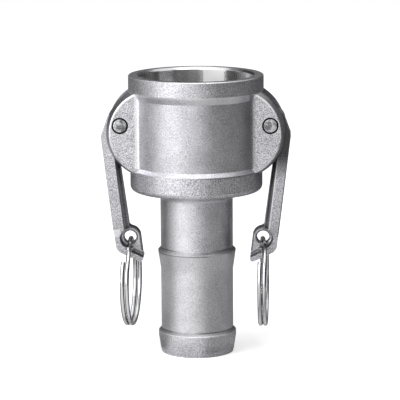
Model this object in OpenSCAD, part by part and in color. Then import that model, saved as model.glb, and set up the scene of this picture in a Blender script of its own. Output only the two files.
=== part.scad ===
// Cam and groove coupling: a socket with two cam arms above a barbed hose shank.
// It stands on the end of its shank, mouth up. The origin is the centre of that end,
// the arms lie along X and their pivot pins lie along Y.

/* [Socket] */
// Bore that takes the grooved adapter
bore_d = 37.3; // [34:0.1:42]
// Wall of the barrel between the rim and the collar
barrel_wall = 2.05; // [1.6:0.05:3]
// Wall of the thicker rim round the mouth
rim_wall = 3.55; // [3:0.05:5]
// Height of the rim's upright band
rim_h = 5; // [3:0.1:6]
// Height of the slope from the rim to the barrel
rim_slope_h = 2.5; // [1:0.1:3]
// Width of the slope that leads into the bore
lead_w = 0.65; // [0.3:0.05:1]
// Depth of the slope that leads into the bore
lead_h = 0.8; // [0.4:0.05:1.5]
// Depth from the mouth to the top of the gasket
socket_depth = 30.5; // [28:0.1:40]

/* [Gasket] */
// Thickness of the flat ring gasket
gasket_h = 6.35; // [4:0.05:8]
// How far the gasket reaches under the bore's edge on each side
gasket_grip = 1.2; // [0.6:0.05:2]
// Width of the gasket's ring
gasket_w = 6.35; // [4:0.05:8]
// Play round the gasket in its groove
gasket_gap = 0.15; // [0.05:0.01:0.3]
// Wall of the collar round the gasket's groove
collar_wall = 1.75; // [1.4:0.05:3]
// Thickness of the collar's floor at its edge
floor_t = 1.15; // [1:0.05:3]
// Height of the slope from the barrel to the collar
collar_slope_h = 1.25; // [1:0.05:2.5]
// Rounding of the collar's lower edge
collar_round = 1.8; // [0.5:0.1:2]

/* [Shank] */
// Length of the shank below the collar
shank_l = 54.4; // [45:0.1:80]
// Outside diameter of the shank's plain tube
tube_d = 23.9; // [22:0.1:28]
// Diameter over the crests of the barbs
crest_d = 25.75; // [24.4:0.05:30]
// Bore through the shank
shank_bore_d = 20; // [16:0.1:21]
// Height of the upper barb's crest above the shank's end
upper_crest = 34.3; // [25:0.1:40]
// Length of the taper below the upper crest
upper_taper = 6.5; // [4:0.1:9]
// Height of the steep shoulder above each crest
shoulder_h = 0.95; // [0.6:0.05:2]
// Height of the lower barb's crest above the shank's end
lower_crest = 7.05; // [6:0.05:12]
// Length of the lower barb's straight land
land_l = 1.5; // [0.5:0.1:4]
// Rounding of the shank's end
end_round = 1.2; // [0.6:0.1:1.6]
// Width of the small slope inside the shank's end
end_slope = 0.3; // [0.1:0.05:0.6]

/* [Ears] */
// Distance from the barrel's outside to the pivot pin's axis
pin_out = 3.7; // [3:0.1:5]
// Depth of the pivot pin's axis below the mouth
pin_depth = 15.6; // [14:0.1:18]
// Radius of the ears' round outline, at the slot between them
ear_r = 15.4; // [14.8:0.05:16]
// Distance from the pin's axis back to the middle of the ears' outline
ear_back = 10.55; // [9.8:0.05:11]
// Distance from the pin's axis down to the middle of the ears' outline
ear_drop = 2.65; // [1.5:0.05:4]
// Angle at which the ears' round sides taper towards their outer faces
ear_draft = 15; // [4:1:18]
// Thickness of each ear
ear_t = 4.5; // [3.5:0.1:6]
// Rounding of the ears' outer edges
ear_round = 0.4; // [0.2:0.1:1]
// Radius of the fillets between the ears' outer faces and the barrel
ear_fillet = 1.5; // [0.8:0.1:2]
// Diameter of the pivot pins
pin_d = 4.8; // [4:0.1:6]
// Width of the small sink round each end of a pin
pin_sink = 0.25; // [0.1:0.05:0.5]
// Play of an arm on its pin, measured on the radius
pin_gap = 0.06; // [0.02:0.01:0.09]

/* [Cam arms] */
// Thickness of the arm's head, between the ears
head_t = 10.6; // [9:0.1:13]
// Play between the head and each ear
head_gap = 0.2; // [0.1:0.05:0.5]
// Radius of the cam lobe
lobe_r = 6.5; // [5.8:0.1:7.2]
// Distance from the pin's axis to the middle of the cam lobe
lobe_offset = 2.4; // [1.5:0.1:3]
// Angle that the closed handle leans in towards the shank
handle_lean = 7; // [4:0.5:9]
// Distance from the pin's axis to the handle's outer face
handle_out = 7.1; // [6.6:0.1:8]
// Thickness of the handle's wide flange
flange_t = 3.5; // [2.5:0.1:4.5]
// Width of the handle's flange, along the pin
flange_w = 13; // [11:0.1:16]
// Length over which the handle widens from the head to the flange
flange_ramp = 16; // [6:1:22]
// Width of the flange's narrowed end, along the pin
tip_w = 9.4; // [7:0.1:10]
// Height of the web that stands on the flange's inner face
web_h = 1.2; // [0.6:0.1:2]
// Radius of the hollows between the web and the flange's inner face
web_hollow = 6; // [4:0.5:8]
// Thickness of the web and of its eye
web_t = 4; // [2.5:0.1:5]
// Distance along the handle from the pin's axis to the eye
eye_reach = 38.3; // [34:0.1:46]
// Diameter of the eye
eye_d = 4.1; // [3.6:0.1:5]
// Width of the eye's sloped edge
eye_slope = 0.6; // [0.2:0.1:0.8]
// Metal between the eye and the web's round edge
eye_wall = 1.4; // [1.2:0.05:2.5]
// Metal between the eye and the handle's outer face
eye_cover = 2.8; // [2:0.1:4]
// Width of the round dish that is sunk into the flange at the eye
dish_w = 1.15; // [0.7:0.05:1.6]
// Thickness of the lip at the handle's end
lip_t = 1.7; // [1.2:0.1:2.5]
// Angle at which the lip slopes from the handle
lip_slope = 32; // [24:1:38]
// Angle through which each arm opens
open_angle = 150; // [120:5:155]

/* [Finger rings] */
// Outside diameter of a split ring
ring_d = 29.8; // [26:0.1:33]
// Diameter of the ring's wire
wire_d = 1.45; // [1.2:0.05:1.6]
// Gap between the ring's two layers
layer_gap = 0.1; // [0.05:0.01:0.3]
// Angle at each side of the ring's top over which it has a single strand
single_angle = 61; // [30:1:80]
// Clearance between the ring and the eye that it hangs in
ring_gap = 0.3; // [0.2:0.05:0.5]
// Turn of the left ring about its upright line
left_ring_angle = -5.3; // [-8:0.1:8]
// Turn of the right ring about its upright line
right_ring_angle = -1.4; // [-8:0.1:8]

/* [Hidden] */
$fn = 96;

// Extra depth of a cut, so that it passes through the surface it opens
cut = 1;

cast_steel = [0.62, 0.62, 0.64];
bright_steel = [0.80, 0.80, 0.82];
black_rubber = [0.08, 0.08, 0.09];

// Socket, from the bore outwards
bore_r = bore_d / 2;
barrel_r = bore_r + barrel_wall;
rim_r = bore_r + rim_wall;
rim_edge = 0.3;
gasket_r = bore_r + gasket_grip;
gasket_edge = 0.3;
groove_r = gasket_r + gasket_gap;
collar_r = groove_r + collar_wall;

// Heights above the shank's end
groove_h = gasket_h + gasket_gap;
collar_base = shank_l;
seat_z = collar_base + floor_t;
groove_top = seat_z + groove_h;
mouth_z = groove_top + socket_depth;
rim_base = mouth_z - rim_h;
barrel_top = rim_base - rim_slope_h;
collar_lip = 0.85;
collar_slope_top = groove_top + collar_lip;
collar_band_top = collar_slope_top - collar_slope_h;

// Shank
tube_r = tube_d / 2;
crest_r = crest_d / 2;
shank_bore_r = shank_bore_d / 2;
tip_swell = 0.25;
tip_r = tube_r + tip_swell;
crest_flat = 0.2;
land_base = lower_crest - land_l;
// The funnel below the gasket slopes at 45 degrees and leaves the gasket a seat
funnel_step = 0.5;
funnel_r = gasket_r - gasket_w - funnel_step;
funnel_h = funnel_r - shank_bore_r;
// The collar's underside falls gently to a fillet round the tube
under_fall = 1;
under_fillet = 2;

// Pins, ears and the windows that the cam lobes reach through
pin_r = pin_d / 2;
pin_x = barrel_r + pin_out;
pin_z = mouth_z - pin_depth;
press_gap = 0.02;
sink_depth = 0.3;
slot_w = head_t + 2 * head_gap;
ear_face = slot_w / 2 + ear_t;
edge_steps = 4;
ear_x = pin_x - ear_back;
ear_z = pin_z - ear_drop;
lobe_reach = lobe_offset + lobe_r;
window_gap = 0.3;
window_rise = lobe_r + window_gap;
window_fall = sqrt(pow(lobe_reach + window_gap, 2) - pow(pin_out, 2));

// Arm, in the handle's own frame: the pin's axis is the origin, X points out
// and Y points up along the handle
eye_r = eye_d / 2;
eye_x = handle_out - eye_cover - eye_r;
tab_r = eye_r + eye_wall;
web_x = handle_out - flange_t - web_h;
dish_r = eye_r + dish_w;
tab_fillet = 2;
lip_drop = 3.6;
corner_round = 3;
hub_wall = 2.55;
hub_r = pin_r + hub_wall;
// The head's outer side slopes from just inside the hub out to the handle's outer face
brow_slope = 26;
brow_sunk = 0.1;
brow_top = (hub_r - brow_sunk) * [cos(brow_slope), sin(brow_slope)];
brow_foot = [handle_out, (hub_r - handle_out * cos(brow_slope)) / sin(brow_slope)];
throat_y = -5;
head_end = -11;
stop_gap = 0.15;
hollow_edge = 10;
// Where the flange narrows towards its end
taper_l = 4.5;
taper_rise = 0.3;
taper_end = eye_reach - taper_rise;
taper_start = taper_end - taper_l;
flange_top = 7.8;

// Ring
wire_r = wire_d / 2;
coil_r = ring_d / 2 - wire_r;
layer = wire_d + layer_gap;
ring_drop = eye_r - wire_r - ring_gap + coil_r;
ring_sides = 12;
ring_steps = 104;

// A point of the handle's frame, turned by the lean of the closed handle
function leaned(p) = [
    p[0] * cos(handle_lean) + p[1] * sin(handle_lean),
    p[1] * cos(handle_lean) - p[0] * sin(handle_lean)
];
eye_at = leaned([eye_x, -eye_reach]);

// A point on the lip's underside, and the step from there up to the lip's top. The lip's
// round end is flush with the web's tab
function under_lip(x) = [x, -eye_reach - lip_drop - (handle_out - x) * tan(lip_slope)];
over_lip = lip_t * [-sin(lip_slope), cos(lip_slope)];
corner_at = [
    handle_out - corner_round,
    under_lip(handle_out)[1] + corner_round * tan(45 - lip_slope / 2)
];
lip_end = under_lip(eye_x - tab_r + (lip_t - over_lip[0]) / 2) + over_lip / 2;

// Position along the ring's axis, from one layer over to the other
function smooth(t) = t * t * (3 - 2 * t);
function layer_x(a) =
    layer * (smooth(min(1, max(0, (a - 360 + single_angle) / (2 * single_angle)))) - 0.5);

// Half section of the outside, before the ears are added
module outside_section() {
    polygon([
        [0, barrel_top], [barrel_r, barrel_top], [rim_r, rim_base],
        [rim_r, mouth_z - rim_edge], [rim_r - rim_edge, mouth_z], [0, mouth_z]
    ]);
    polygon([
        [0, collar_band_top], [collar_r, collar_band_top],
        [barrel_r, collar_slope_top], [barrel_r, barrel_top + cut / 2], [0, barrel_top + cut / 2]
    ]);
    polygon([
        [0, collar_base], [collar_r - collar_round, collar_base],
        [collar_r, collar_base + collar_round], [collar_r, collar_band_top], [0, collar_band_top]
    ]);
    translate([collar_r - collar_round, collar_base + collar_round])
        circle(r = collar_round);
    underside_section();
    square([tube_r, collar_base]);
    upper_barb_section();
    lower_barb_section();
}

// The collar's underside, with its fillet round the tube
module underside_section() {
    fillet_x = tube_r + under_fillet;
    base = collar_base - under_fall;
    polygon([
        [0, base], [fillet_x, base],
        [collar_r - collar_round, collar_base], [0, collar_base + cut]
    ]);
    difference() {
        translate([tube_r - cut, base - under_fillet])
            square([under_fillet + cut, under_fillet]);
        translate([fillet_x, base - under_fillet])
            circle(r = under_fillet);
    }
}

module upper_barb_section() {
    polygon([
        [0, upper_crest - upper_taper], [tube_r, upper_crest - upper_taper],
        [crest_r, upper_crest - crest_flat], [crest_r, upper_crest],
        [tube_r, upper_crest + shoulder_h], [0, upper_crest + shoulder_h]
    ]);
}

// The end barb has a straight land, a taper and a rounded end
module lower_barb_section() {
    polygon([
        [0, end_round], [tip_r, end_round], [crest_r, land_base],
        [crest_r, lower_crest], [tube_r, lower_crest + shoulder_h], [0, lower_crest + shoulder_h]
    ]);
    translate([tip_r - end_round, end_round])
        circle(r = end_round);
    square([tip_r - end_round, 2 * end_round]);
}

// Half section of the passage from the mouth to the shank's end
module passage_section() {
    lead_run = lead_w / lead_h;
    polygon([
        [0, -cut], [shank_bore_r + end_slope + cut, -cut],
        [shank_bore_r, end_slope], [shank_bore_r, seat_z - funnel_h],
        [funnel_r, seat_z], [groove_r, seat_z], [groove_r, groove_top],
        [bore_r, groove_top], [bore_r, mouth_z - lead_h],
        [bore_r + lead_w + lead_run * cut, mouth_z + cut], [0, mouth_z + cut]
    ]);
}

// A round boss along Y from which a pair of ears is cut. It is widest in the middle and
// tapers to both outer faces, where its edges are round
module ear_boss() {
    wide_r = ear_r + slot_w / 2 * tan(ear_draft);
    edge_at = [
        ear_r - (ear_t - ear_round) * tan(ear_draft) - ear_round / cos(ear_draft),
        ear_face - ear_round
    ];
    edge = [
        for (i = [0:edge_steps])
            let (a = ear_draft + (90 - ear_draft) * i / edge_steps)
                edge_at + ear_round * [cos(a), sin(a)]
    ];
    other_edge = [for (i = [edge_steps:-1:0]) [edge[i][0], -edge[i][1]]];
    translate([ear_x, 0, ear_z])
        rotate([90, 0, 0])
            rotate_extrude()
                polygon(concat([[0, -ear_face]], other_edge, [[wide_r, 0]], edge, [[0, ear_face]]));
}

// The fillets between one side's outer ear faces and the barrel
module ear_fillets() {
    fillet_y = ear_face + ear_fillet;
    fillet_x = sqrt(pow(barrel_r + ear_fillet, 2) - pow(fillet_y, 2));
    on_barrel = [fillet_x, fillet_y] * barrel_r / (barrel_r + ear_fillet);
    low = collar_slope_top - ear_fillet;
    for (s = [-1, 1])
        translate([0, 0, low])
            linear_extrude(height = barrel_top + ear_fillet / 2 - low)
                difference() {
                    polygon([
                        [on_barrel[0] - cut, s * (ear_face - cut)], [fillet_x, s * (ear_face - cut)],
                        [fillet_x, s * fillet_y], [on_barrel[0], s * on_barrel[1]]
                    ]);
                    translate([fillet_x, s * fillet_y])
                        circle(r = ear_fillet);
                }
}

module on_pin() {
    translate([pin_x, 0, pin_z])
        rotate([90, 0, 0])
            children();
}

// The slot between the ears of one side
module ear_slot() {
    translate([0, -slot_w / 2, ear_z - 2 * ear_r])
        cube([pin_x + ear_r, slot_w, 4 * ear_r]);
}

// The opening in the barrel that a cam lobe reaches through
module lobe_window() {
    translate([bore_r - lobe_reach, -slot_w / 2, pin_z - window_fall])
        cube([lobe_reach + barrel_wall + cut, slot_w, window_fall + window_rise]);
}

// The hole through both ears, with a small sink at each end
module pin_hole() {
    hole_r = pin_r + press_gap;
    on_pin() {
        cylinder(r = hole_r, h = 2 * (ear_face + cut), center = true);
        for (s = [0, 180])
            rotate([s, 0, 0])
                translate([0, 0, ear_face - sink_depth])
                    cylinder(r1 = hole_r, r2 = hole_r + 2 * pin_sink, h = 2 * sink_depth);
    }
}

module coupler_body() {
    color(cast_steel)
        difference() {
            union() {
                rotate_extrude()
                    outside_section();
                for (s = [0, 180])
                    rotate([0, 0, s]) {
                        difference() {
                            ear_boss();
                            ear_slot();
                        }
                        ear_fillets();
                    }
            }
            rotate_extrude()
                passage_section();
            for (s = [0, 180])
                rotate([0, 0, s]) {
                    lobe_window();
                    pin_hole();
                }
        }
}

module gasket() {
    inner = gasket_r - gasket_w;
    e = gasket_edge;
    color(black_rubber)
        translate([0, 0, seat_z])
            rotate_extrude()
                polygon([
                    [inner + e, 0], [gasket_r - e, 0], [gasket_r, e],
                    [gasket_r, gasket_h - e], [gasket_r - e, gasket_h],
                    [inner + e, gasket_h], [inner, gasket_h - e], [inner, e]
                ]);
}

// A pivot pin, flush with the ears' faces and sloped at both ends
module pivot_pin() {
    color(bright_steel)
        on_pin()
            rotate_extrude()
                polygon([
                    [0, -ear_face], [pin_r - pin_sink, -ear_face], [pin_r, -ear_face + pin_sink],
                    [pin_r, ear_face - pin_sink], [pin_r - pin_sink, ear_face], [0, ear_face]
                ]);
}

// Outline of the handle's flange and lip. The lip's underside slopes from the outer
// face, and the corner between them is round
module flange_outline() {
    inner_x = handle_out - flange_t;
    polygon([
        [inner_x, throat_y], [handle_out, throat_y], [handle_out, corner_at[1]],
        corner_at + corner_round * [sin(lip_slope), -cos(lip_slope)],
        under_lip(inner_x)
    ]);
    translate(corner_at)
        circle(r = corner_round);
    polygon([
        under_lip(inner_x + cut), under_lip(inner_x + cut) + over_lip,
        lip_end + over_lip / 2, lip_end - over_lip / 2
    ]);
    translate(lip_end)
        circle(r = lip_t / 2);
}

// Outline of the web, its round tab and the fillet above the tab
module web_outline() {
    mid_x = handle_out - flange_t / 2;
    tab_x = eye_x - tab_r;
    fillet_at = [
        web_x - tab_fillet,
        sqrt(pow(tab_r + tab_fillet, 2) - pow(eye_x - web_x + tab_fillet, 2)) - eye_reach
    ];
    polygon([
        [web_x, head_end + cut], [mid_x, head_end + cut],
        under_lip(mid_x) + over_lip / 2, under_lip(web_x) + over_lip / 2
    ]);
    polygon([
        [tab_x, -eye_reach], [web_x + cut, -eye_reach],
        under_lip(web_x + cut) + over_lip / 2, [tab_x, lip_end[1]]
    ]);
    translate([eye_x, -eye_reach])
        circle(r = tab_r);
    difference() {
        polygon([
            [eye_x, -eye_reach], [web_x + cut, fillet_at[1]], fillet_at
        ]);
        translate(fillet_at)
            circle(r = tab_fillet);
    }
}

// Outline of the head: the eccentric lobe, the hub and the brow that runs into the handle
module head_outline() {
    rotate(handle_lean)
        translate([-lobe_offset, 0])
            circle(r = lobe_r);
    circle(r = hub_r);
    polygon([
        [-lobe_offset, throat_y], [0, 0], brow_top, brow_foot,
        [handle_out, head_end], [web_x, head_end]
    ]);
}

// Width of the handle at each height, seen from outside
module handle_front() {
    half = [head_t / 2, flange_w / 2, tip_w / 2];
    right = [
        [half[0], hub_r], [half[0], -flange_top], [half[1], -flange_top - flange_ramp],
        [half[1], -taper_start], [half[2], -taper_end], [half[2], -eye_reach - 2 * lobe_r]
    ];
    left = [for (i = [len(right) - 1:-1:0]) [-right[i][0], right[i][1]]];
    polygon(concat(right, left));
}

// The metal beside the web, hollowed out along both sides. Each hollow starts at the web's
// edge and meets the flange's inner face at a small angle
module web_hollows() {
    inner_x = handle_out - flange_t;
    hollow_x = inner_x - web_hollow * cos(hollow_edge);
    hollow_y = web_t / 2 + sqrt(pow(web_hollow, 2) - pow(web_x - hollow_x, 2));
    for (s = [-1, 1])
        translate([0, head_end + cut, 0])
            rotate([90, 0, 0])
                linear_extrude(height = eye_reach + head_end)
                    difference() {
                        polygon([
                            [web_x, 0], [inner_x + cut, 0],
                            [inner_x + cut, s * hollow_y], [web_x, s * hollow_y]
                        ]);
                        translate([hollow_x, s * hollow_y])
                            circle(r = web_hollow);
                    }
}

// The wide flange keeps clear of the ears, closed and fully open
module flange() {
    intersection() {
        difference() {
            union() {
                linear_extrude(height = flange_w + cut, center = true)
                    flange_outline();
                web_hollows();
            }
            linear_extrude(height = flange_w + 2 * cut, center = true) {
                for (a = [0, open_angle])
                    rotate(handle_lean - a)
                        translate([-ear_back, -ear_drop])
                            circle(r = ear_r + stop_gap);
                translate([eye_x, -eye_reach])
                    circle(r = dish_r);
            }
        }
        rotate([0, 90, 0])
            linear_extrude(height = 4 * handle_out, center = true)
                handle_front();
    }
}

// A closed arm on the +X side
module cam_arm() {
    color(cast_steel)
        on_pin()
            rotate([0, 0, -handle_lean])
                difference() {
                    union() {
                        linear_extrude(height = head_t, center = true)
                            head_outline();
                        linear_extrude(height = web_t, center = true)
                            web_outline();
                        flange();
                    }
                    cylinder(r = pin_r + pin_gap, h = head_t + cut, center = true);
                    translate([eye_x, -eye_reach, 0])
                        eye();
                }
}

// The eye through the web, sloped at both faces
module eye() {
    cylinder(r = eye_r, h = web_t + cut, center = true);
    for (s = [0, 180])
        rotate([s, 0, 0])
            translate([0, 0, web_t / 2 - eye_slope])
                cylinder(r1 = eye_r, r2 = eye_r + 2 * eye_slope, h = 2 * eye_slope);
}

// A split ring: one wire wound round twice, except at the top, where a single strand
// crosses from one layer to the other. Its middle is the origin and its axis lies along X
module split_ring() {
    first = single_angle;
    last = 720 - single_angle;
    rim_points = [
        for (i = [0:ring_steps])
            let (a = first + (last - first) * i / ring_steps, out = [0, -sin(a), cos(a)])
                for (j = [0:ring_sides - 1])
                    let (b = 360 * j / ring_sides)
                        (coil_r + wire_r * cos(b)) * out + [layer_x(a) + wire_r * sin(b), 0, 0]
    ];
    walls = [
        for (i = [0:ring_steps - 1])
            for (j = [0:ring_sides - 1])
                let (k = (j + 1) % ring_sides, m = i * ring_sides)
                    [m + j, m + k, m + k + ring_sides, m + j + ring_sides]
    ];
    caps = [
        [for (j = [ring_sides - 1:-1:0]) j],
        [for (j = [0:ring_sides - 1]) ring_steps * ring_sides + j]
    ];
    color(bright_steel)
        polyhedron(points = rim_points, faces = concat(walls, caps));
}

module finger_ring(side, angle) {
    translate([side * (pin_x + eye_at[0]), 0, pin_z + eye_at[1] - ring_drop])
        rotate([0, 0, angle])
            split_ring();
}

module left_side() {
    rotate([0, 0, 180])
        children();
}

coupler_body();
gasket();
left_side() pivot_pin();  // left_pivot_pin
pivot_pin();  // right_pivot_pin
left_side() cam_arm();  // left_cam_arm
cam_arm();  // right_cam_arm
finger_ring(-1, left_ring_angle);  // left_finger_ring
finger_ring(1, right_ring_angle);  // right_finger_ring
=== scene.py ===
import functools
import math

import bmesh
import bpy
from bpy.props import FloatProperty, FloatVectorProperty, IntProperty, PointerProperty
from bpy.types import Operator, Panel, PropertyGroup
from mathutils import Matrix, Quaternion, Vector


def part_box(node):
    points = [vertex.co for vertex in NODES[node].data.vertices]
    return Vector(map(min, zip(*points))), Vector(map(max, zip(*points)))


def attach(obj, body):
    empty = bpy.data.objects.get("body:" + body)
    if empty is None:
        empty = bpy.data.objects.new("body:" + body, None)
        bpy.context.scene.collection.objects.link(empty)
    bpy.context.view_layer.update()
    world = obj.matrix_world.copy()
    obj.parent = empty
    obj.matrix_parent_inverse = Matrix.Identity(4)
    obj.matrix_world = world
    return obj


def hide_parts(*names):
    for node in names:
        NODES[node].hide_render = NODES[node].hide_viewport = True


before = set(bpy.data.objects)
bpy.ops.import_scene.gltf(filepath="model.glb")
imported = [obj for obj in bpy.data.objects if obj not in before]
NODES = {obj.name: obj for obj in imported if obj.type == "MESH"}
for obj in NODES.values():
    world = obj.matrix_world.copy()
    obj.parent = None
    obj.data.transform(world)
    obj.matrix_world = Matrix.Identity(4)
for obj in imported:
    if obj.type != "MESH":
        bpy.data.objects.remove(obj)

bl_info = {
    "name": "Cam and Groove Coupling",
    "version": (1, 0, 0),
    "blender": (4, 5, 0),
    "location": "View3D > Sidebar > Coupling",
    "description": "Dresses the packed cam and groove coupling in cast steel, wire and rubber",
    "category": "Add Mesh",
}

MM = 0.001
SIDES = ("left", "right")

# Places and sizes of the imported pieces
MOUTH_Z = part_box("coupler_body")[1].z
GASKET_LOW, GASKET_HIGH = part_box("gasket")
PIN_LOW, PIN_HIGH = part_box("right_pivot_pin")
PIN_X = (PIN_LOW.x + PIN_HIGH.x) / 2
PIN_Z = (PIN_LOW.z + PIN_HIGH.z) / 2
PIN_R = (PIN_HIGH.x - PIN_LOW.x) / 2

# Sizes of the part's source that the colours by place follow
BORE_R = 18.65 * MM
LEAD_R = 19.3 * MM
RIM_R = 22.2 * MM
RIM_BASE = MOUTH_Z - 5 * MM
BARREL_TOP = RIM_BASE - 2.5 * MM
COLLAR_EDGE = GASKET_HIGH.z - 0.25 * MM
COLLAR_TOP = COLLAR_EDGE + 1.25 * MM
SHANK_TOP = 54.4 * MM
LOW_CREST = 7.05 * MM
HIGH_CREST = 34.3 * MM
SHOULDER_H = 0.95 * MM
EAR_FACE = PIN_HIGH.y
EAR_ROOT = 18.9 * MM
EAR_X = 13.85 * MM
EAR_Z = PIN_Z - 2.65 * MM
EAR_R = 13.9 * MM
EYE_X = 21.966 * MM
EYE_Z = 38.661 * MM
HANDLE_LEAN = math.radians(7)
TAB_R = 3.45 * MM
DISH_R = 3.2 * MM
HANDLE_TOP = PIN_Z - 12 * MM
FLANGE_IN = 1.35 * MM
FLANGE_OUT = 4.85 * MM
LIP_FOOT_X = 20.44 * MM
LIP_FOOT_Z = 33.62 * MM
LIP_SLOPE = math.tan(math.radians(25))

# Distance at which points are merged, and angles at which the castings' faces are joined and
# their edges rounded
MERGE_DISTANCE = 1e-6
FLAT_ANGLE = math.radians(0.3)
SHARP_ANGLE = math.radians(24)

# Roughness of turned steel, and relief of the castings' grain
TURNED_ROUGHNESS = 0.27
GRAIN_RELIEF = 0.05 * MM

# Colours of the painted highlights, painted reflections and painted shade on the steel and the wire, and of
# the black rings round the pins
PAINTED_HIGHLIGHT = (0.97, 0.97, 0.98, 1)
PAINTED_PALE_LIGHT = (0.9, 0.9, 0.91, 1)
PAINTED_SHADE = (0.03, 0.03, 0.032, 1)
BLACK = (0.006, 0.006, 0.006, 1)
PAINTED_WIRE_LIGHT = (0.95, 0.95, 0.97, 1)
PAINTED_WIRE_SHADE = (0.18, 0.18, 0.19, 1)

# Upright bands of painted reflection in the turned bore: place from its left to its right, and brightness
PAINTED_BORE_REFLECTIONS = (
    (0.0, 0.3), (0.08, 0.2), (0.15, 0.3), (0.17, 0.72), (0.26, 0.8), (0.29, 0.5), (0.35, 0.78), (0.41, 0.58),
    (0.49, 0.58), (0.53, 1.0), (0.745, 1.0), (0.77, 0.4), (0.84, 0.5), (0.89, 0.95), (0.95, 1.0), (1.0, 0.6),
)

# Screens round the object that only reflections see: name, start and sweep in degrees, and
# greys at the distances of SCREEN_STOPS from the object's upright axis
SCREEN_STOPS = (0.03, 0.12, 0.25, 0.45)
SCREENS = (
    ("front_screen", -74, 90, (0.36, 0.56, 0.37, 0.125)),
    ("right_screen", 16, 70, (0.22, 0.36, 0.24, 0.08)),
    ("back_screen", 86, 78, (0.36, 0.56, 0.37, 0.125)),
    ("left_screen", 164, 40, (0.2, 0.45, 0.44, 0.42)),
)
# Distance from the axis and height along a screen, which lies on the floor and then rises
SCREEN_PROFILE = ((0.013, 0.001), (0.9, 0.001), (1.1, 0.05), (1.15, 0.25), (1.15, 1.0))


# Shader helpers


class Value:
    """A socket in a node tree. Python's operators on it add Math nodes."""

    def __init__(self, shader, output):
        self.shader = shader
        self.output = output

    def _math(self, operation, *values):
        return self.shader.node("ShaderNodeMath", {"operation": operation}, values)

    def __add__(self, other):
        return self._math("ADD", self, other)

    def __sub__(self, other):
        return self._math("SUBTRACT", self, other)

    def __rsub__(self, other):
        return self._math("SUBTRACT", other, self)

    def __mul__(self, other):
        return self._math("MULTIPLY", self, other)

    def __truediv__(self, other):
        return self._math("DIVIDE", self, other)

    def __rtruediv__(self, other):
        return self._math("DIVIDE", other, self)

    def __pow__(self, other):
        return self._math("POWER", self, other)

    def __gt__(self, other):
        return self._math("GREATER_THAN", self, other)

    def __lt__(self, other):
        return self._math("LESS_THAN", self, other)

    def __abs__(self):
        return self._math("ABSOLUTE", self)

    __radd__ = __add__
    __rmul__ = __mul__

    def largest(self, other):
        return self._math("MAXIMUM", self, other)

    def step(self, start, end):
        """0 up to start, 1 from end on, and a smooth rise between them."""
        settings = {"interpolation_type": "SMOOTHSTEP"}
        inputs = {"Value": self, "From Min": start, "From Max": end}
        return self.shader.node("ShaderNodeMapRange", settings, inputs)

    def within(self, low, high, soft):
        """1 from low to high, and a smooth fall to 0 over a soft width outside them."""
        return self.step(low - soft, low) * (1 - self.step(high, high + soft))


class Shader:
    """Adds nodes to one tree. Any node comes from the node method."""

    def __init__(self, tree):
        self.tree = tree
        tree.nodes.clear()

    def node(self, kind, settings=None, inputs=(), output=0):
        """Adds a node: its settings, then the values or links of its sockets. Gives one output."""
        made = self.tree.nodes.new(kind)
        for name, value in (settings or {}).items():
            if name == "stops":
                self._set_stops(made.color_ramp, value)
            else:
                setattr(made, name, value)
        pairs = inputs.items() if isinstance(inputs, dict) else enumerate(inputs)
        for key, value in pairs:
            socket = made.inputs[key]
            if isinstance(value, Value):
                self.tree.links.new(value.output, socket)
            else:
                socket.default_value = value
        return Value(self, made.outputs[output]) if len(made.outputs) else None

    @staticmethod
    def _set_stops(ramp, stops):
        while len(ramp.elements) < len(stops):
            ramp.elements.new(1)
        for element, (position, grey) in zip(ramp.elements, stops):
            element.position = position
            element.color = (grey, grey, grey, 1)

    def axes(self, vector):
        """The three parts of a vector."""
        split = self.node("ShaderNodeSeparateXYZ", None, {0: vector})
        return [Value(self, split.output.node.outputs[i]) for i in range(3)]

    def place(self):
        """Object coordinates, in metres."""
        return self.node("ShaderNodeTexCoord", output="Object")

    def stretched(self, vector, scale):
        """A vector whose parts are scaled apart."""
        return self.node("ShaderNodeMapping", None, {"Vector": vector, "Scale": scale})

    def noise(self, vector, scale, detail=2.0, rough=0.5):
        """Noise between 0 and 1, with scale as its waves to the metre."""
        inputs = {"Vector": vector, "Scale": scale, "Detail": detail, "Roughness": rough}
        return self.node("ShaderNodeTexNoise", None, inputs)

    def mix(self, share, first, second):
        """A colour between two colours."""
        settings = {"data_type": "RGBA"}
        inputs = {0: share, 6: first, 7: second}
        return self.node("ShaderNodeMix", settings, inputs, output=2)

    def bump(self, height, distance, strength=1.0, normal=None):
        """A normal that leans with a height, on top of another normal if there is one."""
        inputs = {"Height": height, "Distance": distance, "Strength": strength}
        if normal is not None:
            inputs["Normal"] = normal
        return self.node("ShaderNodeBump", None, inputs)

    def principled(self, **inputs):
        """Ends a material. An underscore in a socket's name stands for a space."""
        named = {name.replace("_", " "): value for name, value in inputs.items()}
        surface = self.node("ShaderNodeBsdfPrincipled", None, named)
        self.node("ShaderNodeOutputMaterial", None, {"Surface": surface})


def new_material(name):
    """A new material and the shader that adds its nodes."""
    material = bpy.data.materials.new(name)
    material.use_nodes = True
    return material, Shader(material.node_tree)


def colour(values):
    """An opaque colour."""
    return (*values, 1.0)


# Mesh helpers


def mesh_object(name, bm, material):
    """Turns a bmesh into a smooth-shaded object with one material."""
    mesh = bpy.data.meshes.new(name)
    bm.to_mesh(mesh)
    bm.free()
    made = bpy.data.objects.new(name, mesh)
    bpy.context.scene.collection.objects.link(made)
    mesh.materials.append(material)
    mesh.shade_smooth()
    return made


def new_piece(name, bm, body, material, replaced):
    """Turns a bmesh into a piece that rides on a CAD body in place of CAD nodes."""
    piece = mesh_object(name, bm, material)
    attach(piece, body)
    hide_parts(*replaced)
    return piece


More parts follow.
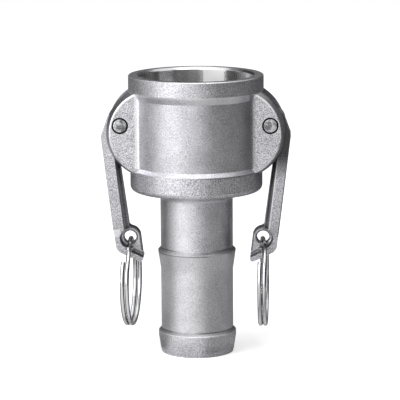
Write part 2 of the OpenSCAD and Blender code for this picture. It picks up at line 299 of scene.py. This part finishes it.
def softened_copy(node, width):
    """A merged copy of a CAD node's mesh, with its sharp edges rounded."""
    bm = bmesh.new()
    bm.from_mesh(NODES[node].data)
    for layer in list(bm.loops.layers.float_vector):
        bm.loops.layers.float_vector.remove(layer)
    bmesh.ops.remove_doubles(bm, verts=bm.verts, dist=MERGE_DISTANCE)
    bmesh.ops.dissolve_limit(bm, angle_limit=FLAT_ANGLE, verts=bm.verts, edges=bm.edges)
    edges = [e for e in bm.edges if e.is_manifold and e.calc_face_angle(0) > SHARP_ANGLE]
    bmesh.ops.bevel(bm, geom=edges, offset=width, segments=2, profile=0.5,
                    affect="EDGES", material=-1, clamp_overlap=True)
    return bm


def keep_flats_flat(piece):
    """Weighted normals, so that wide faces stay flat and only the narrow bevels look round."""
    modifier = piece.modifiers.new("flat faces", "WEIGHTED_NORMAL")
    modifier.mode = "FACE_AREA"
    modifier.weight = 50
    modifier.keep_sharp = True


def spun(profile, steps, axis, centre):
    """A closed ring-shaped or round solid: a profile of points, spun once round an axis."""
    bm = bmesh.new()
    points = [bm.verts.new(p) for p in profile]
    edges = [bm.edges.new(pair) for pair in zip(points, points[1:])]
    bmesh.ops.spin(bm, geom=points + edges, cent=centre, axis=axis, angle=2 * math.pi,
                   steps=steps, use_merge=True)
    bmesh.ops.remove_doubles(bm, verts=bm.verts, dist=MERGE_DISTANCE)
    bmesh.ops.recalc_face_normals(bm, faces=bm.faces)
    return bm


# Settings


class CouplingFinish(PropertyGroup):
    """Colours, grain and edges of the pieces"""

    cast_colour: FloatVectorProperty(
        name="Cast steel", description="Colour of the blasted castings",
        subtype="COLOR", size=3, min=0, max=1, default=(0.612, 0.607, 0.64))
    cast_roughness: FloatProperty(
        name="Cast roughness", description="Roughness of the blasted castings",
        subtype="FACTOR", min=0, max=1, default=0.42)
    grain_size: FloatProperty(
        name="Grain", description="Size of the castings' blasted grain",
        subtype="DISTANCE", unit="LENGTH", default=0.28 * MM)
    grain_contrast: FloatProperty(
        name="Grain contrast", description="Strength of the castings' bright and dark specks",
        min=0, max=8, default=2.6)
    machined_colour: FloatVectorProperty(
        name="Machined steel", description="Colour of the turned bore and mouth",
        subtype="COLOR", size=3, min=0, max=1, default=(0.72, 0.72, 0.74))
    pin_colour: FloatVectorProperty(
        name="Pins", description="Colour of the pins' riveted ends",
        subtype="COLOR", size=3, min=0, max=1, default=(0.76, 0.76, 0.79))
    wire_colour: FloatVectorProperty(
        name="Ring wire", description="Colour of the rings' polished wire",
        subtype="COLOR", size=3, min=0, max=1, default=(0.82, 0.82, 0.84))
    rubber_colour: FloatVectorProperty(
        name="Rubber", description="Colour of the gasket",
        subtype="COLOR", size=3, min=0, max=1, default=(0.025, 0.025, 0.027))
    edge_round: FloatProperty(
        name="Edge rounding", description="Rounding of the castings' sharp edges",
        subtype="DISTANCE", unit="LENGTH", default=0.22 * MM)


class CouplingRings(PropertyGroup):
    """Sizes and turns of the split rings"""

    outside: FloatProperty(
        name="Outside diameter", description="Diameter over a split ring",
        subtype="DISTANCE", unit="LENGTH", default=29.8 * MM)
    wire: FloatProperty(
        name="Wire diameter", description="Diameter of the rings' wire",
        subtype="DISTANCE", unit="LENGTH", default=1.45 * MM)
    layer_gap: FloatProperty(
        name="Layer gap", description="Gap between a ring's two layers",
        subtype="DISTANCE", unit="LENGTH", default=0.1 * MM)
    single_angle: FloatProperty(
        name="Single strand", description="Angle at each side of the top with a single strand",
        subtype="ANGLE", unit="ROTATION", default=math.radians(52.5))
    left_angle: FloatProperty(
        name="Left turn", description="Turn of the left ring about its upright line",
        subtype="ANGLE", unit="ROTATION", default=math.radians(-5.3))
    right_angle: FloatProperty(
        name="Right turn", description="Turn of the right ring about its upright line",
        subtype="ANGLE", unit="ROTATION", default=math.radians(-1.4))
    steps: IntProperty(
        name="Steps", description="Segments along a ring's wire", min=60, max=600, default=300)
    sides: IntProperty(
        name="Sides", description="Segments round a ring's wire", min=8, max=48, default=20)


class CouplingStage(PropertyGroup):
    """Camera, lights and floor"""

    camera_place: FloatVectorProperty(
        name="Camera", description="Place of the camera",
        subtype="TRANSLATION", unit="LENGTH", size=3, default=(0.028435, -0.754962, 0.190085))
    camera_aim: FloatVectorProperty(
        name="Aim", description="Point that the camera looks at",
        subtype="TRANSLATION", unit="LENGTH", size=3, default=(0.001120, 0, 0.050728))
    lens: FloatProperty(
        name="Lens", description="Focal length of the camera, in millimetres",
        subtype="DISTANCE_CAMERA", unit="CAMERA", default=209.45)
    camera_roll: FloatProperty(
        name="Roll", description="Roll of the camera about its line of sight",
        subtype="ANGLE", unit="ROTATION", default=math.radians(-0.374))
    key_power: FloatProperty(
        name="Key light", description="Power of the large soft light at the left",
        subtype="POWER", unit="POWER", default=9)
    floor_colour: FloatVectorProperty(
        name="Floor", description="Colour of the floor",
        subtype="COLOR", size=3, min=0, max=1, default=(0.82, 0.82, 0.82))


# Materials


def blasted_steel(s, place, finish, coarse, tone=1.0):
    """Colour, roughness and relief of a blasted casting: bright and dark specks on slow waves.

    Coarse is a share, 0 to 1, by which the specks grow stronger. Tone scales the colour."""
    grain = s.noise(place, 1 / finish.grain_size, detail=3.0, rough=0.6)
    pits = s.noise(place, 0.45 / finish.grain_size, detail=1.0)
    waves = s.noise(place, 160)
    contrast = (coarse * 1.4 + 1) * finish.grain_contrast
    share = (grain - 0.5) * contrast + (waves - 0.5) * 0.5 + 0.5
    dark_speck = colour([c * 0.5 * tone for c in finish.cast_colour])
    bright_speck = colour([min(1, c * 1.42 * tone) for c in finish.cast_colour])
    base = s.mix(share, dark_speck, bright_speck)
    roughness = finish.cast_roughness + (pits - 0.5) * 0.12
    return base, roughness, grain + pits * 0.8


def strongest(*marks):
    """The strongest of several marks, each given as a mask and its strength."""
    return functools.reduce(Value.largest, (mask * strength for mask, strength in marks))


def pin_distance(x, z):
    """Distance from the nearer pivot pin's axis."""
    return ((abs(x) - PIN_X) ** 2 + (z - PIN_Z) ** 2) ** 0.5


def ear_distance(x, z):
    """Distance from the middle of the nearer ear's round edge."""
    return ((abs(x) - EAR_X) ** 2 + (z - EAR_Z) ** 2) ** 0.5


def face_plane(y):
    """Mask of what reaches the planes of the ears' faces, in front or behind."""
    return abs(y).step(EAR_FACE - 0.6 * MM, EAR_FACE - 0.45 * MM)


def ear_faces(x, y, z):
    """Mask of the ears' flat faces."""
    return face_plane(y) * (z > COLLAR_TOP) * (ear_distance(x, z) < EAR_R + 0.3 * MM)


def body_painted_light(x, y, z):
    """Painted highlights and painted reflections on the coupler's casting: ear edges, left ear's root, slope
    under the rim.
    """
    faces = ear_faces(x, y, z)
    upper_left = z.step(PIN_Z - 12 * MM, PIN_Z + 1 * MM) * (x < 0)
    upper_right = z.step(PIN_Z + 2 * MM, PIN_Z + 6 * MM) * (x > 0)
    ear_edge = ear_distance(x, z).step(EAR_R - 0.45 * MM, EAR_R - 0.15 * MM)
    ear_edge = faces * ear_edge * (abs(x) > EAR_ROOT - 0.3 * MM) * (upper_left + upper_right)
    left_root = faces * (1 - abs(abs(x) - EAR_ROOT).step(0.4 * MM, 1.1 * MM)) * (x < 0)

    slope = z.within(BARREL_TOP + 0.3 * MM, RIM_BASE - 0.1 * MM, 0.3 * MM)
    slope = slope * (abs(y) > EAR_FACE + 0.05 * MM) * (1 - x.step(12 * MM, 16.5 * MM) * 0.8)
    slope_top = slope * z.step(RIM_BASE - 1.1 * MM, RIM_BASE - 0.3 * MM)
    slope_right = slope * x.step(-2 * MM, 8 * MM)
    return strongest((ear_edge, 0.85), (left_root, 0.6), (slope_top, 0.5), (slope_right, 0.4))


def ear_shade(x, y, z, radius):
    """Dark marks round the ears: their sides, the right ear's root and the barrel beside it."""
    side = (1 - face_plane(y)) * (radius > RIM_R + 0.15 * MM)
    side = side * ear_distance(x, z).step(EAR_R - 1.2 * MM, EAR_R - 0.7 * MM)
    far_edge = 1 - abs(y).step(EAR_FACE - 3.8 * MM, EAR_FACE - 2.4 * MM)
    right_side = side * far_edge * z.step(PIN_Z + 3 * MM, PIN_Z + 7 * MM) * (x > 0)
    beside_ear = x.step(13 * MM, 17.5 * MM) * (abs(y) > EAR_FACE + 0.2 * MM)
    beside_ear = beside_ear * z.within(COLLAR_TOP, BARREL_TOP, 0.2 * MM)
    root = (EAR_ROOT - 1.1 * MM, EAR_ROOT - 0.5 * MM)
    right_root = ear_faces(x, y, z) * x.within(*root, 2 * MM) * (x > root[0])
    return strongest((side * (x < 0), 0.5), (right_side, 0.65), (beside_ear, 0.3), (right_root, 0.4))


def shank_shade(x, z):
    """Dark lines above and below the crests and below the collar, and the tip's dark right side."""
    marks = []
    for crest in (LOW_CREST, HIGH_CREST):
        root = crest + SHOULDER_H
        above = z.within(root, root + 0.3 * MM, 0.15 * MM) * abs(x).step(3 * MM, 9 * MM)
        shoulder = z.within(crest + 0.4 * MM, root, 0.15 * MM) * abs(x + 4 * MM).step(3 * MM, 8 * MM)
        marks += [(above, 0.6), (shoulder, 0.4)]
    root = LOW_CREST + SHOULDER_H
    low_shoulder = z.within(root - 0.55 * MM, root + 0.1 * MM, 0.2 * MM)
    low_line = z.within(root - 0.1 * MM, root + 0.35 * MM, 0.2 * MM) * x.step(-2 * MM, 2 * MM)
    under_crest = z.within(HIGH_CREST - 0.45 * MM, HIGH_CREST - 0.15 * MM, 0.1 * MM)
    under_crest = under_crest * (1 - x.step(3 * MM, 6 * MM))
    under_collar = z.within(COLLAR_EDGE - 0.45 * MM, COLLAR_EDGE - 0.1 * MM, 0.12 * MM)
    under_collar = under_collar * x.step(0, 4 * MM)
    tip = (1 - z.step(0, 5 * MM)) * x.step(-2 * MM, 5 * MM)
    return strongest(*marks, (low_shoulder, 0.42), (low_line, 0.55), (under_crest, 0.5),
                     (under_collar, 0.4), (tip, 0.35))


def coarse_places(x, y, z):
    """Share by which the casting's grain is stronger: the rim, the collar, the tip and the ears."""
    collar = z.within(COLLAR_EDGE - 6.5 * MM, COLLAR_EDGE - 0.3 * MM, 0.2 * MM)
    ears = abs(y).step(EAR_FACE - 0.2 * MM, EAR_FACE - 0.1 * MM) * (abs(x) > EAR_ROOT - 0.9 * MM)
    return strongest((z > RIM_BASE, 0.5), (z < LOW_CREST, 0.5), (collar, 0.9), (ears * (z > COLLAR_TOP), 0.8))


def cast_material(finish):
    """Blasted stainless casting, turned bright inside the socket and on the mouth."""
    material, s = new_material("blasted_casting")
    place = s.place()
    x, y, z = s.axes(place)
    radius = (x * x + y * y) ** 0.5
    inside = 1 - radius.step(LEAD_R + 0.02 * MM, LEAD_R + 0.05 * MM)
    in_socket = inside * (z > GASKET_LOW.z)
    in_bore = in_socket * (radius < BORE_R + 0.1 * MM)
    machined = in_socket.largest(z > MOUTH_Z - 0.05 * MM)

    base, cast_roughness, relief = blasted_steel(s, place, finish, coarse_places(x, y, z))
    # Painted light on the lower shank, but not on the right of its neck above the high crest
    right_neck = (z > HIGH_CREST) * x.step(-3 * MM, 2 * MM)
    painted_light_shank = (z < SHANK_TOP) * z.step(1 * MM, 6 * MM) * (1 - right_neck)
    base = s.mix(painted_light_shank * 0.22, base, PAINTED_PALE_LIGHT)
    # Painted highlights on the ears' edges and root, and painted reflection on the slope under the rim
    base = s.mix(body_painted_light(x, y, z), base, PAINTED_HIGHLIGHT)
    # Painted shade round the ears and along the shank's crests, collar and tip
    base = s.mix(ear_shade(x, y, z, radius).largest(shank_shade(x, z)), base, PAINTED_SHADE)

    # Painted reflections in the turned bore: light and dark upright bands across it
    across = x / (2 * BORE_R) + 0.5
    painted_reflection_bands = s.node("ShaderNodeValToRGB", {"stops": PAINTED_BORE_REFLECTIONS}, {"Fac": across})
    base = s.mix(machined, base, s.mix(in_bore, colour(finish.machined_colour), painted_reflection_bands))
    # Painted dark reflection on the right of the lead-in
    lead_in = (radius > BORE_R + 0.08 * MM) * (radius < LEAD_R + 0.02 * MM) * (z > MOUTH_Z - 2 * MM)
    base = s.mix(lead_in * x.step(9 * MM, 12 * MM) * 0.7, base, PAINTED_SHADE)
    away = pin_distance(x, z)
    seam = (away < PIN_R + 0.3 * MM) * (away > PIN_R - 0.05 * MM)
    base = s.mix(seam, base, BLACK)

    turning_marks = s.noise(s.stretched(place, (40, 40, 9000)), 1.0, detail=1.0)
    roughness = cast_roughness * (1 - machined) + TURNED_ROUGHNESS * machined
    # The white patch among the bore's painted reflections is made less metallic, so its white shows lit by
    # the lamps
    reflection_patch = in_bore * x.within(2 * MM, 8.6 * MM, 0.6 * MM)
    rough_bump = s.bump(relief, GRAIN_RELIEF, 1 - machined)
    normal = s.bump(turning_marks, 0.01 * MM, machined, rough_bump)
    s.principled(Base_Color=base, Metallic=1 - reflection_patch * 0.8, Roughness=roughness, Normal=normal)
    return material


def arm_axes(x, z):
    """Distances from the nearer eye: outward across the leaning handle, and up along it."""
    out, up = abs(x) - EYE_X, z - EYE_Z
    cos, sin = math.cos(HANDLE_LEAN), math.sin(HANDLE_LEAN)
    return out * cos - up * sin, out * sin + up * cos


def flange_front(y, z):
    """Mask of the handles' flanges near their front and back edges."""
    return (abs(y) > 5 * MM) * (z < HANDLE_TOP)


def arm_painted_shade(x, y, z, out, up, from_eye):
    """Painted shade of the arms: tab rim, dish, lip lines, web, right arm's head and outline."""
    tab = (out * out + up.largest(0.0) ** 2) ** 0.5
    tab_rim = tab.step(TAB_R - 0.6 * MM, TAB_R - 0.3 * MM) * (out < 1 * MM) * (up < 4 * MM) * (up > -5 * MM)
    dish = from_eye.within(DISH_R - 0.35 * MM, DISH_R + 0.05 * MM, 0.15 * MM) * (out > -0.5 * MM)

    above_lip = z - LIP_FOOT_Z - (abs(x) - LIP_FOOT_X) * LIP_SLOPE
    low_line = above_lip.within(0, 0.12 * MM, 0.12 * MM)
    high_line = above_lip.within(0.85 * MM, 1.05 * MM, 0.15 * MM)
    between = above_lip.within(0.1 * MM, 0.9 * MM, 0.1 * MM)
    on_lip = abs(x) < 23.5 * MM
    lip = strongest((low_line, 0.8), (high_line, 0.8), (between, 0.36)) * on_lip

    web = (out < FLANGE_IN + 0.05 * MM) * (up > 3.2 * MM) * (z < HANDLE_TOP) * (abs(y) < 3 * MM)
    head = x.step(25 * MM, 26 * MM) * z.step(PIN_Z - 20 * MM, PIN_Z - 10 * MM)
    head = head * abs(y).step(3.2 * MM, 4.2 * MM)
    outline = out.step(FLANGE_OUT - 0.5 * MM, FLANGE_OUT - 0.15 * MM) * flange_front(y, z) * (x > 0)
    return strongest((lip, 1.0), (head, 0.9), (tab_rim, 0.75), (dish, 0.7), (web, 0.5), (outline, 0.8))


def arm_painted_light(x, y, z, out, up, from_eye):
    """Painted highlights of the arms: crescent in the dish, right flange's inner line, left one's patch."""
    flange = flange_front(y, z)
    glint = from_eye.within(DISH_R - 0.85 * MM, DISH_R - 0.6 * MM, 0.1 * MM)
    glint = glint * (out > 0.6 * MM) * (up < 1 * MM)
    inner_line = out.within(FLANGE_IN, FLANGE_IN + 0.35 * MM, 0.1 * MM) * (up > 3.4 * MM) * flange * (x > 0)
    patch = up.within(-0.7 * MM, 3.7 * MM, 0.3 * MM) * (out > 2.6 * MM) * flange * (x < 0)
    return strongest((glint, 0.8), (inner_line, 0.7), (patch, 0.6))


def arm_material(finish):
    """Blasted stainless casting of the cam arms."""
    material, s = new_material("blasted_arm_casting")
    place = s.place()
    x, y, z = s.axes(place)
    out, up = arm_axes(x, z)
    from_eye = (out * out + up * up) ** 0.5
    base, roughness, relief = blasted_steel(s, place, finish, coarse=0.8, tone=0.93)
    # Painted highlights on the arms
    base = s.mix(arm_painted_light(x, y, z, out, up, from_eye), base, PAINTED_HIGHLIGHT)
    # Painted shade on the arms
    base = s.mix(arm_painted_shade(x, y, z, out, up, from_eye), base, PAINTED_SHADE)
    s.principled(Base_Color=base, Metallic=1.0, Roughness=roughness, Normal=s.bump(relief, GRAIN_RELIEF))
    return material


def pin_material(finish):
    """Riveted steel pin ends: bright, unevenly flattened and stained, with a dark rim."""
    material, s = new_material("riveted_pin")
    place = s.place()
    x, _, z = s.axes(place)
    dents = s.noise(place, 560, rough=0.55)
    fine = s.noise(place, 2200, rough=0.6)
    share = (dents - 0.5) * 4.0 + (fine - 0.5) * 2.2 + 0.55 - (x > 0) * 0.2
    stained = colour([c * 0.24 for c in finish.pin_colour])
    base = s.mix(share, stained, colour(finish.pin_colour))
    rim = pin_distance(x, z).step(PIN_R - 0.3 * MM, PIN_R - 0.2 * MM)
    base = s.mix(rim, base, BLACK)
    normal = s.bump(dents + fine * 0.1, 0.3 * MM)
    s.principled(Base_Color=base, Metallic=1.0, Roughness=0.3 + fine * 0.1, Normal=normal)
    return material


def wire_material(finish):
    """Polished stainless wire with faint drawing marks, painted shade and dark reflection along its flanks
    and painted light at the bottom.
    """
    material, s = new_material("polished_wire")
    place = s.place()
    z = s.axes(place)[2]
    marks = s.noise(place, 900)
    flank = s.node("ShaderNodeAttribute", {"attribute_name": "flank"}, output="Fac")
    # Painted light at the rings' bottoms, which are also made less metallic
    bottom = 1 - z.step(11 * MM, 19 * MM)
    base = s.mix(marks, colour([c * 0.9 for c in finish.wire_colour]), colour(finish.wire_colour))
    base = s.mix(bottom * 0.6, base, PAINTED_WIRE_LIGHT)
    # Painted shade and dark reflection along the wire's flanks
    base = s.mix(flank.step(0.4, 0.8), base, PAINTED_WIRE_SHADE)
    s.principled(Base_Color=base, Metallic=1 - bottom * 0.5, Roughness=0.12 + marks * 0.06,
                 Normal=s.bump(marks, 0.001 * MM))
    return material


def rubber_material(finish):
    """Black moulded rubber."""
    material, s = new_material("moulded_rubber")
    place = s.place()
    bloom = s.noise(place, 260, detail=3.0, rough=0.6)
    fine = s.noise(place, 4000, detail=1.0)
    base = s.mix(bloom, colour(finish.rubber_colour), colour([c * 1.9 for c in finish.rubber_colour]))
    s.principled(Base_Color=base, Roughness=0.48 + bloom * 0.18, Normal=s.bump(fine, 0.01 * MM, 0.6))
    return material


# Operators


class OBJECT_OT_coupling_casting(Operator):
    """Dress the coupler's casting: rounded edges, blasted outside, turned socket"""

    bl_idname = "object.coupling_casting"
    bl_label = "Coupler Casting"

    def execute(self, context):
        finish = context.scene.coupling_finish
        bm = softened_copy("coupler_body", finish.edge_round)
        piece = new_piece("coupler_casting", bm, "coupler", cast_material(finish),
                          ["coupler_body"])
        keep_flats_flat(piece)
        return {"FINISHED"}


class OBJECT_OT_coupling_gasket(Operator):
    """Make the rubber gasket in its groove"""

    bl_idname = "object.coupling_gasket"
    bl_label = "Gasket"

    def execute(self, context):
        finish = context.scene.coupling_finish
        outer, width, edge = GASKET_HIGH.x, 6.35 * MM, 0.3 * MM
        left, right = outer - width + edge, outer - edge
        low, high = GASKET_LOW.z + edge, GASKET_HIGH.z - edge
        profile = []
        for cx, cz, start in ((right, low, -90), (right, high, 0), (left, high, 90), (left, low, 180)):
            for turn in (0, 22.5, 45, 67.5, 90):
                a = math.radians(start + turn)
                profile.append((cx + edge * math.cos(a), 0, cz + edge * math.sin(a)))
        bm = spun(profile + profile[:1], 160, (0, 0, 1), (0, 0, 0))
        new_piece("gasket_ring", bm, "coupler", rubber_material(finish), ["gasket"])
        return {"FINISHED"}


class OBJECT_OT_coupling_pins(Operator):
    """Make the two pivot pins, with riveted ends"""

    bl_idname = "object.coupling_pins"
    bl_label = "Pivot Pins"

    def execute(self, context):
        material = pin_material(context.scene.coupling_finish)
        end = -PIN_HIGH.y
        slope = 0.25 * MM
        rounded_end = [(0, end), (PIN_R - 2 * slope, end + 0.02 * MM), (PIN_R - slope, end + 0.08 * MM),
                       (PIN_R - 0.3 * slope, end + 0.5 * slope), (PIN_R, end + slope)]
        profile = rounded_end + [(r, -y) for r, y in reversed(rounded_end)]
        for side, sign in zip(SIDES, (-1, 1)):
            points = [(sign * PIN_X + r, y, PIN_Z) for r, y in profile]
            bm = spun(points, 48, (0, 1, 0), (sign * PIN_X, 0, PIN_Z))
            new_piece(side + "_pin", bm, "coupler", material, [side + "_pivot_pin"])
        return {"FINISHED"}


class OBJECT_OT_coupling_arms(Operator):
    """Dress the two cam arms: rounded edges and blasted steel"""

    bl_idname = "object.coupling_arms"
    bl_label = "Cam Arms"

    def execute(self, context):
        finish = context.scene.coupling_finish
        material = arm_material(finish)
        for side in SIDES:
            bm = softened_copy(side + "_cam_arm", finish.edge_round)
            piece = new_piece(side + "_arm_casting", bm, side + "_arm", material,
                              [side + "_cam_arm"])
            keep_flats_flat(piece)
        return {"FINISHED"}


class OBJECT_OT_coupling_rings(Operator):
    """Wind the two split rings in the arms' eyes"""

    bl_idname = "object.coupling_rings"
    bl_label = "Split Rings"

    def execute(self, context):
        material = wire_material(context.scene.coupling_finish)
        for side in SIDES:
            bm = self.wound(context.scene.coupling_rings, side)
            new_piece(side + "_split_ring", bm, side + "_ring", material,
                      [side + "_finger_ring"])
        return {"FINISHED"}

    @staticmethod
    def wound(rings, side):
        """Sweeps the wire's round section twice round the ring, less the single strand."""
        low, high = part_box(side + "_finger_ring")
        centre = (low + high) / 2
        turn = rings.left_angle if side == "left" else rings.right_angle
        wire_r = rings.wire / 2
        coil_r = rings.outside / 2 - wire_r
        layer = rings.wire + rings.layer_gap
        first, last = rings.single_angle, 4 * math.pi - rings.single_angle
        bm = bmesh.new()
        flank = bm.verts.layers.float.new("flank")

        def layer_x(angle):
            """Place across the ring's two layers. The wire changes layers along the single strand."""
            t = (angle - 2 * math.pi + rings.single_angle) / (2 * rings.single_angle)
            t = min(1, max(0, t))
            return layer * (t * t * (3 - 2 * t) - 0.5)

        def turned(verts, angle, axis):
            """Turns vertices about the ring's centre."""
            bmesh.ops.rotate(bm, verts=verts, cent=(0, 0, 0), matrix=Matrix.Rotation(angle, 3, axis))

        section = bmesh.ops.create_circle(bm, segments=rings.sides, radius=wire_r, cap_ends=False)["verts"]
        turned(section, math.radians(90), "X")
        for vert in section:
            vert[flank] = abs(vert.co.x) / wire_r
        bmesh.ops.translate(bm, verts=section, vec=(layer_x(first), 0, coil_r))
        turned(section, first, "X")
        start_edges = edges = list(bm.edges)
        step = (last - first) / rings.steps
        for i in range(rings.steps):
            made = bmesh.ops.extrude_edge_only(bm, edges=edges)["geom"]
            verts = [g for g in made if isinstance(g, bmesh.types.BMVert)]
            edges = [g for g in made if isinstance(g, bmesh.types.BMEdge)
                     and all(v in verts for v in g.verts)]
            angle = first + i * step
            turned(verts, step, "X")
            bmesh.ops.translate(bm, verts=verts, vec=(layer_x(angle + step) - layer_x(angle), 0, 0))
        rims = []
        for loop in (start_edges, edges):
            for cap in bmesh.ops.contextual_create(bm, geom=loop)["faces"]:
                rims += cap.edges
        bmesh.ops.bevel(bm, geom=rims, offset=wire_r * 0.35, segments=3, profile=0.5,
                        affect="EDGES", material=-1)
        bmesh.ops.recalc_face_normals(bm, faces=bm.faces)
        bm.normal_update()
        # What faces down within about 14 degrees gets the flanks' painted shade too.
        for vert in bm.verts:
            facing_down = (-vert.normal.z - 0.97) / 0.03
            vert[flank] = max(vert[flank], facing_down)
        turned(bm.verts, turn, "Z")
        bmesh.ops.translate(bm, verts=bm.verts, vec=centre)
        return bm


class OBJECT_OT_coupling_stage(Operator):
    """Make the floor, the soft lights and the camera"""

    bl_idname = "object.coupling_stage"
    bl_label = "Stage"

    def execute(self, context):
        stage = context.scene.coupling_stage
        self.camera(context, stage)
        self.floor(stage)
        self.world(context)
        for name, start, sweep, greys in SCREENS:
            self.screen(name, start, sweep, greys)
        self.lamp("key_light", (-0.75, -0.75, 0.55), (0.8, 0.9), stage.key_power)
        self.lamp("top_light", (0.0, -0.1, 1.1), (0.8, 0.8), stage.key_power * 0.4)
        return {"FINISHED"}

    @staticmethod
    def camera(context, stage):
        """The scene's camera, as fitted to the photograph."""
        data = bpy.data.cameras.new("camera")
        data.lens = stage.lens
        data.sensor_width = 36
        data.clip_start, data.clip_end = 0.05, 30
        camera = bpy.data.objects.new("camera", data)
        context.scene.collection.objects.link(camera)
        camera.location = stage.camera_place
        look = Vector(stage.camera_aim) - Vector(stage.camera_place)
        camera.rotation_mode = "QUATERNION"
        roll = Quaternion((0, 0, 1), stage.camera_roll)
        camera.rotation_quaternion = look.to_track_quat("-Z", "Y") @ roll
        context.scene.camera = camera

    @staticmethod
    def lamp(name, place, size, power):
        """A rectangular soft light that faces the object's middle."""
        data = bpy.data.lights.new(name, "AREA")
        data.shape = "RECTANGLE"
        data.size, data.size_y = size
        data.energy = power
        lamp = bpy.data.objects.new(name, data)
        bpy.context.scene.collection.objects.link(lamp)
        lamp.location = place
        lamp.rotation_mode = "QUATERNION"
        look = Vector((0, 0, 0.05)) - Vector(place)
        lamp.rotation_quaternion = look.to_track_quat("-Z", "Y")

    @staticmethod
    def floor(stage):
        """A pale floor, brighter to the camera, that keeps the object's shadow."""
        material, s = new_material("pale_floor")
        path = s.node("ShaderNodeLightPath", output="Is Camera Ray")
        lit = s.node("ShaderNodeBsdfDiffuse", None, {"Color": colour(stage.floor_colour)})
        camera_glow = path * 0.5
        glow = s.node("ShaderNodeEmission", None, {"Color": (1, 1, 1, 1), "Strength": camera_glow})
        both = s.node("ShaderNodeAddShader", None, (lit, glow))
        s.node("ShaderNodeOutputMaterial", None, {"Surface": both})
        bm = bmesh.new()
        bmesh.ops.create_grid(bm, x_segments=2, y_segments=2, size=4)
        mesh_object("floor", bm, material)

    @staticmethod
    def world(context):
        """A world that is white to the camera and in reflections, and grey to diffuse light."""
        world = bpy.data.worlds.new("studio")
        context.scene.world = world
        world.use_nodes = True
        s = Shader(world.node_tree)
        light_path = s.node("ShaderNodeLightPath").output.node
        seen = Value(s, light_path.outputs["Is Camera Ray"])
        for name in ("Is Glossy Ray", "Is Transmission Ray"):
            seen = seen.largest(Value(s, light_path.outputs[name]))
        white = s.node("ShaderNodeBackground", None, {"Color": (1, 1, 1, 1), "Strength": 1.0})
        room = s.node("ShaderNodeBackground", None, {"Color": (0.5, 0.5, 0.5, 1), "Strength": 1.0})
        both = s.node("ShaderNodeMixShader", None, (seen, room, white))
        s.node("ShaderNodeOutputWorld", None, {"Surface": both})

    @staticmethod
    def screen(name, start, sweep, greys):
        """A grey screen round part of the object, which only reflections see."""
        material, s = new_material(name)
        x, y, _ = s.axes(s.place())
        away = (x * x + y * y) ** 0.5
        stops = list(zip(SCREEN_STOPS, greys))
        shade = s.node("ShaderNodeValToRGB", {"stops": stops}, {"Fac": away})
        light = s.node("ShaderNodeEmission", None, {"Color": shade, "Strength": 1.0})
        s.node("ShaderNodeOutputMaterial", None, {"Surface": light})
        a = math.radians(start)
        bm = bmesh.new()
        points = [bm.verts.new((r * math.cos(a), r * math.sin(a), height)) for r, height in SCREEN_PROFILE]
        edges = [bm.edges.new(pair) for pair in zip(points, points[1:])]
        bmesh.ops.spin(bm, geom=points + edges, cent=(0, 0, 0), axis=(0, 0, 1),
                       angle=math.radians(sweep), steps=max(4, round(sweep / 4)))
        screen = mesh_object(name, bm, material)
        screen.visible_camera = False
        screen.visible_shadow = False
        screen.visible_diffuse = False
        screen.visible_transmission = False


class VIEW3D_PT_coupling(Panel):
    """Lists the coupling's pieces and settings"""

    bl_idname = "VIEW3D_PT_coupling"
    bl_label = "Cam and Groove Coupling"
    bl_space_type = "VIEW_3D"
    bl_region_type = "UI"
    bl_category = "Coupling"

    def draw(self, context):
        column = self.layout.column()
        for maker in MAKERS:
            column.operator(maker.bl_idname)
        for name in GROUPS:
            group = getattr(context.scene, name)
            box = self.layout.box()
            for key in group.__annotations__:
                box.prop(group, key)


GROUPS = {
    "coupling_finish": CouplingFinish,
    "coupling_rings": CouplingRings,
    "coupling_stage": CouplingStage,
}
MAKERS = (
    OBJECT_OT_coupling_stage,
    OBJECT_OT_coupling_casting,
    OBJECT_OT_coupling_gasket,
    OBJECT_OT_coupling_pins,
    OBJECT_OT_coupling_arms,
    OBJECT_OT_coupling_rings,
)
CLASSES = (*GROUPS.values(), *MAKERS, VIEW3D_PT_coupling)


def register():
    for item in CLASSES:
        bpy.utils.register_class(item)
    for name, group in GROUPS.items():
        setattr(bpy.types.Scene, name, PointerProperty(type=group))


def unregister():
    for name in GROUPS:
        delattr(bpy.types.Scene, name)
    for item in reversed(CLASSES):
        bpy.utils.unregister_class(item)


def main():
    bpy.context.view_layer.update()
    register()
    bpy.context.scene.view_settings.view_transform = "Standard"
    for maker in MAKERS:
        group, name = maker.bl_idname.split(".")
        result = getattr(getattr(bpy.ops, group), name)()
        if result != {"FINISHED"}:
            raise RuntimeError(maker.bl_label + " did not finish")
    bpy.context.view_layer.update()


if __name__ == "__main__":
    main()
